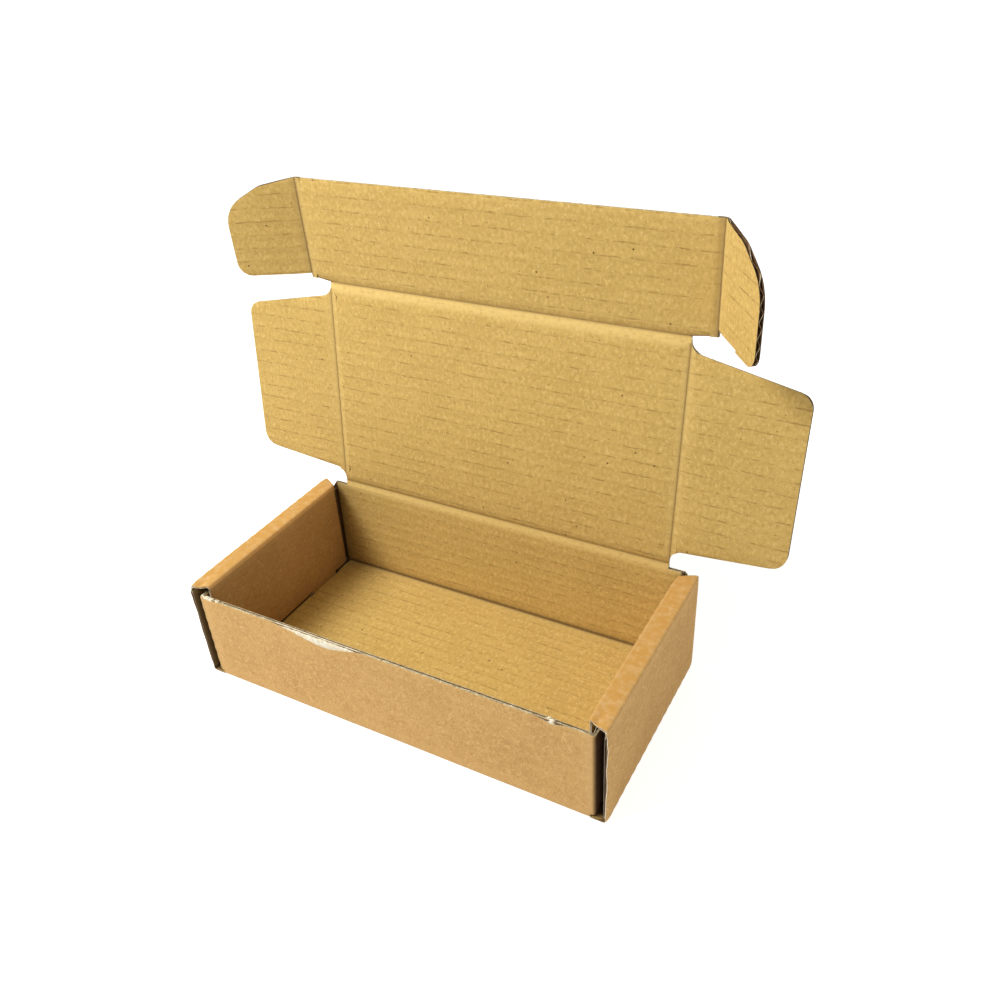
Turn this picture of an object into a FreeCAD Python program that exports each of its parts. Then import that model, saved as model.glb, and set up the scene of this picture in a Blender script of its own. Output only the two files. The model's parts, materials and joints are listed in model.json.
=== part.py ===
"""Corrugated mailer box with rolled side walls, standing with its lid open.

The box is one die-cut sheet of corrugated board. The tray part of the sheet is folded up and locked,
and it is one solid. The lid, its two side flaps, the tuck flap and the tuck flap's two ears are solids of
their own, because they turn at their creases.

Millimetres. The origin is at the middle of the tray's underside. X runs along the front wall, Y to the
back and Z up. A folded panel has a frame of its own: x along its lower crease, y up the panel and z out
of one face.
"""
import FreeCAD, Part
import math
import os

from FreeCAD import Placement, Rotation, Vector

X_AXIS = Vector(1, 0, 0)
Y_AXIS = Vector(0, 1, 0)
Z_AXIS = Vector(0, 0, 1)

# Board and clearances. Its flutes run from left to right over the whole flat sheet
board = 2.4                   # thickness of the corrugated board
flute_pitch = 6.5             # from one wave of the inner layer to the next
liner = 0.3                   # the two flat outer layers
medium = 0.3                  # the wavy inner layer
flute_crest = 1.0             # width of the wave's flat crests
flute_crushed = 5.0           # the flutes are pressed shut this far from a crease
flute_margin = 1.2            # board left whole above and below the open flutes
crease_gap = 0.1              # between two panels that meet at a hinge crease
pocket_gap = 0.15             # between boards that lie on each other in a side wall
ear_clear = 0.2               # each side of an ear in its slot, and under the rolled edge
seat_gap = 0.1                # between a side wall's folded-in panel and the base
tab_clear = 0.2               # each side of a locking tab in its slot

# Tray
tray_width = 217.0            # outside, left to right
tray_depth = 108.0            # outside, front to back, at the base
wall_height = 55.2            # side walls, to the top of the rolled edge
front_height = 50.0           # front wall
front_lean = 0.6              # degrees that the front wall leans out
back_lean = 1.6               # degrees that the back wall leans back
rolled_front_inset = 3.6      # the rolled edge's ends are cut on a slant: inner corner behind the outer one
rolled_back_inset = 5.2
front_dust_length = 38.0      # dust flaps, from the inner face of their wall
back_dust_length = 43.0
dust_height = 47.0
dust_lift = 0.4               # from the base to a dust flap's lower edge
dust_corner = 9.0             # radius of a dust flap's free corners
tab_length = 22.0             # locking tabs of the folded-in side panels
tab_middle = 27.0             # from the tray's middle to a tab's middle
tab_play = 0.4                # at each end of a tab in its slot
tab_recess = 0.3              # from the tray's underside up to a tab's end

# Lid and its side flaps
lid_clear = 0.6               # between the shut lid and the rolled edges
lid_lean = 6.5                # degrees that the open lid leans back
lid_past_level = 20.0         # degrees below level that the lid can be laid back
relief_margin = 8.0           # degrees that the back wall's bevel is steeper than the lid laid back on it
tuck_clear = 0.2              # between the shut tuck flap and the front wall
flap_side_gap = 2.9           # between a folded lid flap and the side wall
flap_floor_gap = 0.6          # between a folded lid flap and the base
flap_fold = 2.2               # degrees that the lid flaps are folded in
flap_near = 6.9               # a lid flap's crease starts this far from the hinge
flap_far = 7.1                # and ends this far short of the tuck crease
flap_near_rise = 5.2          # slope of the flap's two edges, over its length
flap_far_fall = 9.6
flap_near_corner = 8.5        # radii of its free corners
flap_far_corner = 7.0

# Tuck flap and its ears
tuck_height = 50.0
tuck_fold = 8.7               # degrees that the tuck flap is folded in
tuck_heel = 1.0               # rise of the tuck flap's foot outside the lid's crease
ear_length = 36.8
ear_top_fall = 3.3            # the ear's upper edge falls this far over its inner half
ear_side_top = 37.0           # height of the outer corner that the big curve rounds off
ear_low_corner = 7.0
ear_high_corner = 15.0
ear_fold_left = 24.0          # degrees that the ears are folded in
ear_fold_right = 51.3

# Sections worked out from the sizes above, as distances from the tray's middle
half_width = tray_width / 2
half_depth = tray_depth / 2
wall_in = half_width - board                              # inner face of an outer side wall
corner_out = wall_in - board - 2 * ear_clear              # ends of the front and back walls
corner_in = corner_out - board                            # inner face of a dust flap
lining_out = corner_in - pocket_gap                       # folded-in side panel
lining_in = lining_out - board
depth_in = half_depth - board                             # inner faces of front and back walls
roll_under = wall_height - board                          # underside of the rolled edge

# Hinge of the lid: it lies in the middle of the board, so that the lid turns both ways
hinge_z = wall_height + lid_clear + board / 2
back_rad = math.radians(back_lean)
hinge_up = (hinge_z - board - board / 2 * math.sin(back_rad)) / math.cos(back_rad)
hinge_y = depth_in + board / 2 * math.cos(back_rad) + hinge_up * math.sin(back_rad)

# The shut lid reaches just past the top of the leaning front wall
front_rad = math.radians(front_lean)
front_reach = depth_in + board * math.cos(front_rad) + (front_height - board) * math.sin(front_rad)
lid_depth = hinge_y + front_reach + tuck_clear
lid_half = lining_in - board - flap_side_gap
flap_length = wall_height + lid_clear - board - flap_floor_gap
ear_crease = corner_out + ear_clear
ear_low = lid_clear + board + ear_clear                   # keeps the ear under the rolled edge


def turned(origin, axis, degrees):
    """A frame at origin, turned about one axis."""
    return Placement(origin, Rotation(axis, degrees))


front_frame = turned(Vector(0, -depth_in, board), X_AXIS, 90 + front_lean)
back_frame = turned(Vector(0, depth_in, board), X_AXIS, 90 - back_lean)
lid_frame = turned(Vector(0, hinge_y, hinge_z), X_AXIS, 90 - lid_lean)
tuck_frame = lid_frame * turned(Vector(0, lid_depth, board / 2), X_AXIS, tuck_fold)


def side_frame(parent, side, crease, level, fold):
    """Frame of a flap hinged on its parent's left (side -1) or right (side 1) edge, folded inwards."""
    return parent * turned(Vector(side * crease, 0, level), Y_AXIS, -side * fold)


flap_frames = {side: side_frame(lid_frame, side, lid_half, board / 2, flap_fold) for side in (-1, 1)}
ear_frames = {
    -1: side_frame(tuck_frame, -1, ear_crease, 0, ear_fold_left),
    1: side_frame(tuck_frame, 1, ear_crease, 0, ear_fold_right),
}


def corner_arc(before, corner, after, radius):
    """The two tangent points and the middle point of an arc that rounds a corner."""
    back = (before - corner).normalize()
    forward = (after - corner).normalize()
    half = back.getAngle(forward) / 2
    reach = radius / math.tan(half)
    middle = (back + forward).normalize() * (radius / math.sin(half) - radius)
    return corner + back * reach, corner + middle, corner + forward * reach


def outline(points):
    """Closed face from (x, y) or (x, y, corner radius) points."""
    corners = [Vector(point[0], point[1], 0) for point in points]
    rounds = []
    for i, point in enumerate(points):
        if len(point) == 3:
            rounds.append(corner_arc(corners[i - 1], corners[i], corners[(i + 1) % len(corners)], point[2]))
        else:
            rounds.append((corners[i],))
    edges = []
    for i, bend in enumerate(rounds):
        if len(bend) == 3:
            edges.append(Part.Arc(*bend).toShape())
        following = rounds[(i + 1) % len(rounds)]
        edges.append(Part.LineSegment(bend[-1], following[0]).toShape())
    return Part.Face(Part.Wire(edges))


def panel(frame, points, low, high):
    """A flat piece of board: an outline in the frame's x-y plane, from z = low to z = high."""
    shape = outline(points).extrude(Z_AXIS * (high - low))
    shape.translate(Z_AXIS * low)
    shape.Placement = frame * shape.Placement
    return shape


def block(x, y, z):
    """A box from three (low, high) pairs."""
    return Part.makeBox(x[1] - x[0], y[1] - y[0], z[1] - z[0], Vector(x[0], y[0], z[0]))


def fold_round(origin, rotation, degrees, length):
    """The outside of a fold: a sector as thick as the board about the fold's inner corner."""
    shape = Part.makeCylinder(board, length, Vector(), Z_AXIS, degrees)
    shape.Placement = Placement(origin, rotation)
    return shape


def open_flutes(frame, along, across, faces):
    """The air in the flutes where they end open at a raw edge.

    along and across are (low, high) on the frame's x and y axes, and faces is the z of the board's two faces.
    Every other run is widest at the first face, and the ones between at the second.
    """
    half_pitch = flute_pitch / 2
    narrow = flute_crest / 2
    wide = half_pitch - narrow - medium * math.sqrt(2)
    count = int((across[1] - across[0] - 2 * flute_margin) / half_pitch)
    first = (across[0] + across[1] - (count - 1) * half_pitch) / 2
    runs = []
    for i in range(count):
        near, far = faces if i % 2 else reversed(faces)
        out = 1 if far > near else -1
        base_z = near + out * liner
        crest_z = far - out * (liner + medium)
        middle = first + i * half_pitch
        section = Part.makePolygon([
            Vector(along[0], middle - wide, base_z), Vector(along[0], middle + wide, base_z),
            Vector(along[0], middle + narrow, crest_z), Vector(along[0], middle - narrow, crest_z),
            Vector(along[0], middle - wide, base_z),
        ])
        runs.append(Part.Face(section).extrude(X_AXIS * (along[1] - along[0])))
    air = Part.makeCompound(runs)
    air.Placement = frame * air.Placement
    return air


def union(shapes):
    return shapes[0].multiFuse(shapes[1:]).removeSplitter()


def rectangle(x, y):
    """Corner points of a rectangle from two (low, high) pairs."""
    return [(x[0], y[0]), (x[1], y[0]), (x[1], y[1]), (x[0], y[1])]


def mirrored(shape):
    return shape.mirror(Vector(), X_AXIS)


def tab_slots():
    """Slots in the base for the right side's locking tabs."""
    reach = tab_length / 2 + tab_play
    across = (lining_in - tab_clear, lining_out + tab_clear)
    return [block(across, (y - reach, y + reach), (0, board)) for y in (-tab_middle, tab_middle)]


def base():
    """The base, cut back where the front and back walls fold up from it."""
    right = [
        (corner_in, -depth_in), (corner_in, -half_depth), (wall_in, -half_depth),
        (wall_in, half_depth), (corner_in, half_depth), (corner_in, depth_in),
    ]
    left = [(-x, y) for x, y in reversed(right)]
    plate = panel(Placement(), right + left, 0, board)
    for slot in tab_slots():
        plate = plate.cut(slot).cut(mirrored(slot))
    return plate


def rolled_end(front):
    """What the slanted cut takes off one end of the rolled edge and the panel that is folded in."""
    inset = rolled_front_inset if front else rolled_back_inset
    side = -1 if front else 1
    past = side * (half_depth + board)
    slope = inset / (half_width - lining_in)
    inner_x = lining_in - board
    inner_y = side * (half_depth - slope * (half_width - inner_x))
    points = [(half_width, side * half_depth), (inner_x, inner_y), (inner_x, past), (half_width, past)]
    return panel(Placement(), points, board, wall_height + board)


def right_side():
    """Outer wall, rolled edge, and the panel folded in and locked in the base by its tabs."""
    whole = (-half_depth, half_depth)

    def fold_along(x, z, first_quarter):
        turn = Rotation(X_AXIS, -90) * Rotation(Z_AXIS, first_quarter)
        return fold_round(Vector(x, -half_depth, z), turn, 90, tray_depth)

    wall = block((wall_in, half_width), whole, (board, roll_under))
    foot = fold_along(wall_in, board, 0)
    edge = fold_along(wall_in, roll_under, -90)
    strip = block((lining_out, wall_in), whole, (roll_under, wall_height))
    inner_edge = fold_along(lining_out, roll_under, 180)
    lining = block((lining_in, lining_out), whole, (board + seat_gap, roll_under))
    reach = tab_length / 2
    tabs = [
        block((lining_in, lining_out), (y - reach, y + reach), (tab_recess, board + seat_gap))
        for y in (-tab_middle, tab_middle)
    ]
    rolled = union([edge, strip, inner_edge, lining] + tabs)
    rolled = rolled.cut(rolled_end(True)).cut(rolled_end(False))
    return [wall, foot, rolled]


def dust_flap(frame, inwards, length, faces):
    """A dust flap along the frame's x axis (inwards 1) or against it (-1), with its free corners rounded."""
    top = dust_lift + dust_height
    reach = inwards * length
    points = [(0, dust_lift), (reach, dust_lift, dust_corner), (reach, top, dust_corner), (0, top)]
    along = (inwards * flute_crushed, reach + inwards)
    return panel(frame, points, *faces).cut(open_flutes(frame, along, (dust_lift, top), faces))


def wall_with_dust_flaps(frame, out, top, dust_length):
    """Front or back wall with the dust flaps folded in at its ends. The outer face is at z = out * board."""
    pieces = [panel(frame, rectangle((-corner_in, corner_in), (0, top)), *sorted((0, out * board)))]
    for side in (-1, 1):
        corner = turned(Vector(side * corner_in, 0, 0), Y_AXIS, 90)
        first_quarter = {(1, -1): 0, (-1, -1): 90, (-1, 1): 180, (1, 1): 270}[(side, out)]
        upright = frame.Rotation * Rotation(X_AXIS, -90) * Rotation(Z_AXIS, first_quarter)
        pieces.append(fold_round(frame.multVec(corner.Base), upright, 90, top))
        pieces.append(dust_flap(frame * corner, out, dust_length, sorted((0, side * board))))
    return pieces


def bottom_fold(side, lean):
    """The fold between the base and the front (side -1) or back (side 1) wall."""
    along_x = Rotation(Y_AXIS, 90)
    start = Rotation(Z_AXIS, 0 if side > 0 else -(90 - lean))
    origin = Vector(-corner_in, side * depth_in, board)
    return fold_round(origin, along_x * start, 90 - lean, 2 * corner_in)


def hinge_relief(top):
    """Bevel on the back wall's outer upper edge, which clears the lid when it is laid back past level."""
    slope = math.tan(math.radians(lid_past_level - back_lean + relief_margin))
    middle = board / 2
    past = 2 * board
    low = top - (past - middle) * slope
    points = [(middle, top), (past, low), (past, top + board), (middle, top + board)]
    start = turned(Vector(-corner_out, 0, 0), Y_AXIS, 90)
    return panel(back_frame * start, points, 0, 2 * corner_out)


def tray():
    pieces = [base(), bottom_fold(-1, front_lean), bottom_fold(1, back_lean)]
    for piece in right_side():
        pieces += [piece, mirrored(piece)]
    back_top = hinge_up - board / 2 - crease_gap
    pieces += wall_with_dust_flaps(front_frame, 1, front_height - board, front_dust_length)
    pieces += wall_with_dust_flaps(back_frame, -1, back_top, back_dust_length)
    return union(pieces).cut(hinge_relief(back_top))


def lid():
    """Flat panel whose lower end is rounded about the hinge."""
    corners = rectangle((-lid_half, lid_half), (0, lid_depth - crease_gap))
    sheet = panel(lid_frame, corners, -board / 2, board / 2)
    bead = Part.makeCylinder(board / 2, 2 * lid_half, Vector(-lid_half, hinge_y, hinge_z), X_AXIS)
    return union([sheet, bead])


def loose_flap(frame, side, points, length, across):
    """A flap with its crease at x = 0 and its inner face at z = 0. Its flutes end open at its outer edge."""
    faces = (-board, 0)
    along = (side * flute_crushed, side * (length + board))
    return panel(frame, points, *faces).cut(open_flutes(frame, along, across, faces))


def lid_flap(side):
    """Side flap of the lid, tapered and with rounded free corners."""
    near = flap_near
    far = lid_depth - flap_far
    points = [
        (side * crease_gap, near),
        (side * flap_length, near + flap_near_rise, flap_near_corner),
        (side * flap_length, far - flap_far_fall, flap_far_corner),
        (side * crease_gap, far),
    ]
    whole_flutes = (near + flap_near_rise, far - flap_far_fall)
    return loose_flap(flap_frames[side], side, points, flap_length, whole_flutes)


def tuck_flap():
    """Wider than the lid, so that its ears reach the slots beside the front wall."""
    heel = tuck_heel + crease_gap
    points = [
        (-lid_half, crease_gap), (lid_half, crease_gap), (ear_crease, heel), (ear_crease, tuck_height),
        (-ear_crease, tuck_height), (-ear_crease, heel),
    ]
    return panel(tuck_frame, points, -board, 0)


def tuck_ear(side):
    """Ear with one small lower corner and a large curve above."""
    points = [
        (side * crease_gap, ear_low),
        (side * ear_length, ear_low, ear_low_corner),
        (side * ear_length, ear_side_top, ear_high_corner),
        (side * ear_length / 2, tuck_height - ear_top_fall, ear_high_corner),
        (side * crease_gap, tuck_height),
    ]
    return loose_flap(ear_frames[side], side, points, ear_length, (ear_low, tuck_height - ear_top_fall))


def parts():
    """Every sub-part by its node name."""
    return {
        "tray": tray(),
        "lid": lid(),
        "lid_flap_left": lid_flap(-1),
        "lid_flap_right": lid_flap(1),
        "tuck_flap": tuck_flap(),
        "tuck_ear_left": tuck_ear(-1),
        "tuck_ear_right": tuck_ear(1),
    }


def main():
    os.makedirs("parts", exist_ok=True)
    for name, shape in parts().items():
        print(name, "solids", len(shape.Solids), "valid", shape.isValid(), "volume", round(shape.Volume, 1))
        shape.exportStep(os.path.join("parts", name + ".step"))


main()
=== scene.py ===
"""Looks of the corrugated mailer box: each panel of the die-cut sheet as two liners and a fluted layer.

Every panel is cut out flat, in the coordinates of the unfolded sheet, and then folded into place. X runs
along the flutes and Y across them. Height is measured from the inner face: zero there and minus one board
outside.
"""
import json
import math

import bmesh
import bpy
import numpy as np
from mathutils import Euler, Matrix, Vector


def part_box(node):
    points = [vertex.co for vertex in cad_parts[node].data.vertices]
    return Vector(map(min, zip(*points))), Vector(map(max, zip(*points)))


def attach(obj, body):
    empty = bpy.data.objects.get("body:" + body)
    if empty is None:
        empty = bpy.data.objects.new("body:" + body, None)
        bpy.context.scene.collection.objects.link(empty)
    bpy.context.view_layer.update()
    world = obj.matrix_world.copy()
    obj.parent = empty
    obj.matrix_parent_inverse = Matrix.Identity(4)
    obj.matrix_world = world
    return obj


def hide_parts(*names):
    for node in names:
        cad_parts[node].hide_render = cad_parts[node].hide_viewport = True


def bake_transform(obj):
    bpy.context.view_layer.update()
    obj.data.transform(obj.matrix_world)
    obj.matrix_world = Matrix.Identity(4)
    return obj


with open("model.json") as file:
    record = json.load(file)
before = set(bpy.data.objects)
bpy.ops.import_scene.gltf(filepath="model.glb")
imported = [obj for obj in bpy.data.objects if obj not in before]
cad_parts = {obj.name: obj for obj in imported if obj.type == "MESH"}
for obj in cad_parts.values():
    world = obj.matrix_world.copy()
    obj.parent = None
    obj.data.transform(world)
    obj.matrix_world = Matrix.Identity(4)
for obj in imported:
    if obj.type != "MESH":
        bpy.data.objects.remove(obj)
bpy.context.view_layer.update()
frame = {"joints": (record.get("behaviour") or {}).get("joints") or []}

MM = 0.001
TINY = 1e-7
SAME_LINE = 1e-6

# Board
board = 2.4 * MM
liner = 0.3 * MM
medium = 0.25 * MM            # paper of the fluted layer
flute_pitch = 6.5 * MM
corner_square = 0.22          # how far the outside of a fold is from round, towards square
skin_half = 3.0 * MM          # the liners' strip that bends at a hinge reaches this far each way
bend_half = 2.4 * MM          # and turns within this much of it

# Tray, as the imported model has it
half_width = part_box("tray")[1].x
half_depth = 54.0 * MM
wall_height = 55.2 * MM
front_height = 50.0 * MM
front_lean = 0.6
back_lean = 1.6
rolled_front_inset = 3.6 * MM
rolled_back_inset = 5.2 * MM
front_dust_length = 38.0 * MM
back_dust_length = 43.0 * MM
dust_height = 47.0 * MM
dust_lift = 0.4 * MM
dust_corner = 9.0 * MM
tab_length = 22.0 * MM
tab_middle = 27.0 * MM
tab_play = 0.4 * MM
tab_recess = 0.3 * MM
tab_clear = 0.2 * MM
seat_gap = 0.1 * MM
torn_start = -62 * MM         # along the front wall's top edge
torn_widest = -29 * MM
torn_end = -10 * MM
nick_at = 83.6 * MM
fray_spans = ((-102.6, -95.0), (-93.8, -91.0), (82.4, 85.8))
torn_dip = 3.4 * MM           # how far the outer liner is pushed down at the tear
nick_dip = 1.3 * MM
fray_dip = 0.7 * MM
edge_wave = 0.12 * MM
edge_swell = 1.0 * MM         # how far the board comes apart at the side walls' front edges
strip_crush = 0.9 * MM
lining_lift = 0.8 * MM        # the folded-in panels' lower edges are cut a little short of the base
ear_clear = 0.2 * MM
pocket_gap = 0.15 * MM
wall_in = half_width - board
corner_out = wall_in - board - 2 * ear_clear
corner_in = corner_out - board
lining_out = corner_in - pocket_gap
lining_in = lining_out - board
depth_in = half_depth - board
roll_under = wall_height - board

# Hinges, from the joints
joints = {joint["name"]: joint for joint in frame["joints"]}


def joint_place(name):
    return Vector(joints[name]["pos_m"])


lid_pivot = joint_place("lid_hinge")
lid_up = Vector(joints["lid_flap_left_hinge"]["axis"])
tuck_up = Vector(joints["tuck_ear_left_hinge"]["axis"])
tuck_fold = -joints["tuck_hinge"]["range_deg"][0]
flap_fold = -joints["lid_flap_left_hinge"]["range_deg"][0]
ear_fold = {
    -1: -joints["tuck_ear_left_hinge"]["range_deg"][0],
    1: -joints["tuck_ear_right_hinge"]["range_deg"][0],
}
lid_half = joint_place("lid_flap_right_hinge").x
ear_crease = joint_place("tuck_ear_right_hinge").x
lid_inwards = Vector((1, 0, 0)).cross(lid_up)
lid_foot = Vector((0, lid_pivot.y, lid_pivot.z)) + lid_inwards * board / 2
lid_depth = (joint_place("tuck_hinge") - lid_foot).dot(lid_up)
lid_lean = math.degrees(math.atan2(lid_up.y, lid_up.z))

# Lid flaps, tuck flap and ears
flap_length = 52.8 * MM
flap_near = 6.9 * MM
flap_far = 7.1 * MM
flap_near_rise = 5.2 * MM
flap_far_fall = 9.6 * MM
flap_near_corner = 8.5 * MM
flap_far_corner = 7.0 * MM
notch_radius = 5.5 * MM
ear_jag = 1.2 * MM            # a torn step in the right ear's lower edge
ear_jag_at = 19.0 * MM
knife_crush = 0.6 * MM        # at edges that are cut along the flutes
wall_crush = 0.12 * MM
ear_crush = 0.08 * MM
tuck_height = 50.0 * MM
tuck_heel = 1.0 * MM
ear_length = 36.8 * MM
ear_low = 3.2 * MM
ear_top_fall = 3.3 * MM
ear_side_top = 37.0 * MM
ear_low_corner = 7.0 * MM
ear_high_corner = 15.0 * MM


def turn_length(degrees):
    """Length of a fold on the flat sheet, at the middle of the board."""
    return math.radians(degrees) * board / 2


# Places on the flat sheet
quarter = turn_length(90)
front_fold_end = -(depth_in + turn_length(90 - front_lean))
back_fold_end = depth_in + turn_length(90 - back_lean)
front_top = front_fold_end - (front_height - board)
back_rad = math.radians(back_lean)
hinge_up = (lid_pivot.z - board - board / 2 * math.sin(back_rad)) / math.cos(back_rad)
lid_y = back_fold_end + hinge_up          # lid hinge
tuck_y = lid_y + lid_depth                # tuck hinge
wall_start = wall_in + quarter
wall_end = wall_start + roll_under - board
strip_start = wall_end + quarter
strip_end = strip_start + wall_in - lining_out
lining_start = strip_end + quarter
lining_end = lining_start + roll_under - board - seat_gap
tab_end = lining_end + board + seat_gap - tab_recess


def ease(t):
    t = np.clip(t, 0, 1)
    return t * t * (3 - 2 * t)


# Folding

class Plane:
    """Where a flat panel lies: a point of its inner face, and the ways along x, along y and inwards."""

    def __init__(self, origin, along, up, inwards):
        self.origin = np.array(origin, float)
        self.along = np.array(along, float)
        self.up = np.array(up, float)
        self.inwards = np.array(inwards, float)

    def __call__(self, x, y, w):
        return self.origin + np.outer(x, self.along) + np.outer(y, self.up) + np.outer(w, self.inwards)


def turned(points, pivot, axis, angles):
    """Points turned about a line, each by its own angle in radians."""
    pivot = np.array(pivot, float)
    axis = np.array(axis, float)
    arm = points - pivot
    cosine = np.cos(angles)[:, None]
    sine = np.sin(angles)[:, None]
    return pivot + arm * cosine + np.cross(axis, arm) * sine + np.outer(arm @ axis, axis) * (1 - cosine)


def folded(steps):
    """Folds a strip in its own plane, always towards its inside.

    A step is ("run", length) or ("turn", degrees).
    """
    def place(s, w):
        a = np.zeros_like(s)
        b = np.zeros_like(s)
        start = x = y = heading = 0.0
        for kind, size in steps:
            length = size if kind == "run" else turn_length(size)
            t = s - start
            here = t >= -TINY if start else np.ones(len(s), bool)
            if kind == "run":
                a = np.where(here, x + t * math.cos(heading) - w * math.sin(heading), a)
                b = np.where(here, y + t * math.sin(heading) + w * math.cos(heading), b)
                x += length * math.cos(heading)
                y += length * math.sin(heading)
            else:
                share = np.clip(t / length, 0, 1)
                angle = heading + math.radians(size) * share
                outer = np.clip(-w / board, 0, 1)
                radius = w * (1 + corner_square * outer * np.sin(math.pi * share) ** 2)
                a = np.where(here, x - radius * np.sin(angle), a)
                b = np.where(here, y + radius * np.cos(angle), b)
                heading += math.radians(size)
            start += length
        return a, b
    return place


def tray_side(side):
    """Outer wall, rolled edge and folded-in panel on the left (side -1) or right (side 1)."""
    strip = folded([
        ("turn", 90), ("run", roll_under - board), ("turn", 90), ("run", wall_in - lining_out), ("turn", 90),
        ("run", board + roll_under),
    ])

    def place(x, y, w):
        out, up = strip(side * x - wall_in, w)
        return np.column_stack([side * (wall_in + out), y, board + up])
    return place


def tray_end(side, lean):
    """Front wall (side -1) or back wall (side 1)."""
    strip = folded([("turn", 90 - lean), ("run", wall_height)])

    def place(x, y, w):
        out, up = strip(side * y - depth_in, w)
        return np.column_stack([x, side * (depth_in + out), board + up])
    return place


def wall_plane(side, lean):
    """Plane of the front or back wall, with y counted up from the base's inner face."""
    rad = math.radians(lean)
    up = (0, side * math.sin(rad), math.cos(rad))
    inwards = (0, -side * math.cos(rad), math.sin(rad))
    return Plane((0, side * depth_in, board), (1, 0, 0), up, inwards)


def dust_flap_place(end, lean, fold_end, side):
    """Dust flap on the left or right (side) of the front or back (end) wall."""
    wall = wall_plane(end, lean)
    strip = folded([("turn", 90), ("run", 2 * back_dust_length)])

    def place(x, y, w):
        out, rise = strip(side * x - corner_in, w)
        return wall(side * (corner_in + out), abs(y) - abs(fold_end), rise)
    return place


lid_plane = Plane(lid_foot, (1, 0, 0), lid_up, lid_inwards)
tuck_inwards = Vector((1, 0, 0)).cross(tuck_up)
tuck_plane = Plane(joint_place("tuck_hinge"), (1, 0, 0), tuck_up, tuck_inwards)


def side_plane(parent, side, crease, fold):
    """Plane of a flap on its parent's left or right edge, with x counted outwards from the crease."""
    rad = math.radians(fold)
    out = side * math.cos(rad) * parent.along + math.sin(rad) * parent.inwards
    inwards = math.cos(rad) * parent.inwards - side * math.sin(rad) * parent.along
    return Plane(parent.origin + side * crease * parent.along, out, parent.up, inwards)


flap_planes = {side: side_plane(lid_plane, side, lid_half, flap_fold) for side in (-1, 1)}
ear_planes = {side: side_plane(tuck_plane, side, ear_crease, ear_fold[side]) for side in (-1, 1)}


# Flat cutting

def corner_arc(before, corner, after, radius, steps=7):
    """Points of an arc that rounds a corner of an outline."""
    before, corner, after = (np.array(p[:2], float) for p in (before, corner, after))
    back = (before - corner) / np.linalg.norm(before - corner)
    forward = (after - corner) / np.linalg.norm(after - corner)
    half = math.acos(float(np.clip(back @ forward, -1, 1))) / 2
    middle = corner + (back + forward) / np.linalg.norm(back + forward) * radius / math.sin(half)
    start = corner + back * radius / math.tan(half) - middle
    end = corner + forward * radius / math.tan(half) - middle
    first = math.atan2(start[1], start[0])
    sweep = math.atan2(start[0] * end[1] - start[1] * end[0], start @ end)
    angles = first + sweep * np.linspace(0, 1, steps + 1)
    return [tuple(middle + radius * np.array([math.cos(a), math.sin(a)])) for a in angles]


def outline(points):
    """An outline's points, with each (x, y, radius) corner rounded."""
    result = []
    for i, point in enumerate(points):
        if len(point) == 3:
            result += corner_arc(points[i - 1], point, points[(i + 1) % len(points)], point[2])
        else:
            result.append(tuple(point))
    return result


def cuts(low, high, step, around=()):
    """Places between low and high where a panel is divided: on the sheet's raster, and finer by folds."""
    offsets = np.array([0.45, 0.9, 1.4, 2.0, 2.8, 3.8, 5.0]) * MM
    fine = [place + side * offset for place in around for offset in offsets for side in (-1, 1)]
    fine = sorted(v for v in fine if low + TINY < v < high - TINY)
    raster = np.arange(math.ceil(low / step), math.floor(high / step) + 1) * step
    coarse = [v for v in raster if low + TINY < v < high - TINY and all(abs(v - f) > 0.3 * MM for f in fine)]
    return sorted(fine + coarse)


def fold_cuts(start, length, steps=8):
    return [start + length * i / steps for i in range(steps + 1)]


def mirror(points):
    return [(-p[0],) + tuple(p[1:]) for p in points]


def sided(side, points, columns):
    """A right-hand panel's outline and columns, mirrored for the left."""
    if side > 0:
        return points, columns
    return mirror(points), [-c for c in columns]


column_step = 6.0 * MM
row_step = flute_pitch / 8

# The liners' materials, by their place in a piece's list
OUTSIDE, INSIDE, BACK, EDGE, SHADED_EDGE, PALE_EDGE = range(6)


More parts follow.
